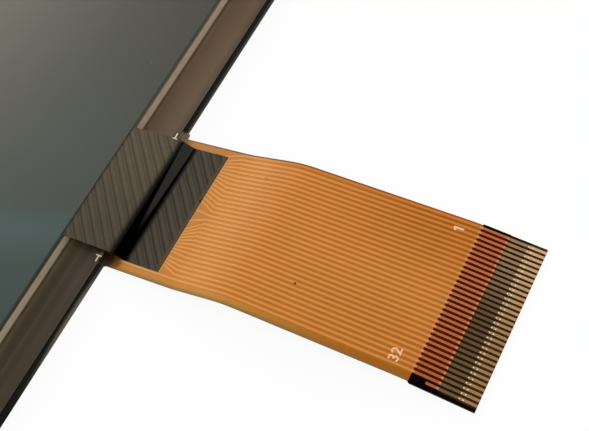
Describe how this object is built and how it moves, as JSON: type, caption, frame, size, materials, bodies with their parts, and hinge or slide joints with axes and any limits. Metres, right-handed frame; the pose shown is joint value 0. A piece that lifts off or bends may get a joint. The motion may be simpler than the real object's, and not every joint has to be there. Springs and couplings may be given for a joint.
{
  "type": "car radio display",
  "caption": "Flat liquid crystal display cell for a car radio: two glass plates, dark polarising films, a contact ledge under a ribbed cover tape, and an amber flex tail with contact fingers.",
  "frame": {"origin": "centre of the panel's rear face", "axes": "+X along the panel's long edge, +Z out of the panel's front, and the flex tail leaves towards -Y"},
  "size_m": [0.1003, 0.083, 0.0033],
  "materials": {
    "panel_glass": "polished faces, cut edges",
    "seal_resin": "cured resin",
    "cell_fill": "clear fluid",
    "clear_resin": "cured resin, glossy",
    "front_film": "satin anti-glare",
    "rear_film": "satin",
    "silicon": "ground silicon",
    "bond_film": "cured adhesive",
    "amber_film": "smooth polyimide",
    "copper": "rolled copper, plated fingers",
    "stiffener": "plain",
    "tape": "fine diagonal ribs",
    "gold_film": "thin metal film"
  },
  "bodies": {
    "root": {"rear_glass": "panel_glass", "front_glass": "panel_glass", "perimeter_seal": "seal_resin", "liquid_crystal": "cell_fill", "fill_port_plug": "clear_resin", "front_polariser": "front_film", "rear_polariser": "rear_film", "driver_chip": "silicon", "chip_bond_film": "bond_film", "flex_bond_film": "bond_film", "flex_base_film": "amber_film", "flex_conductors": "copper", "flex_coverlay": "amber_film", "tail_stiffener": "stiffener", "cover_tape": "tape", "edge_resin": "clear_resin", "alignment_marks": "gold_film"}
  },
  "joints": []
}
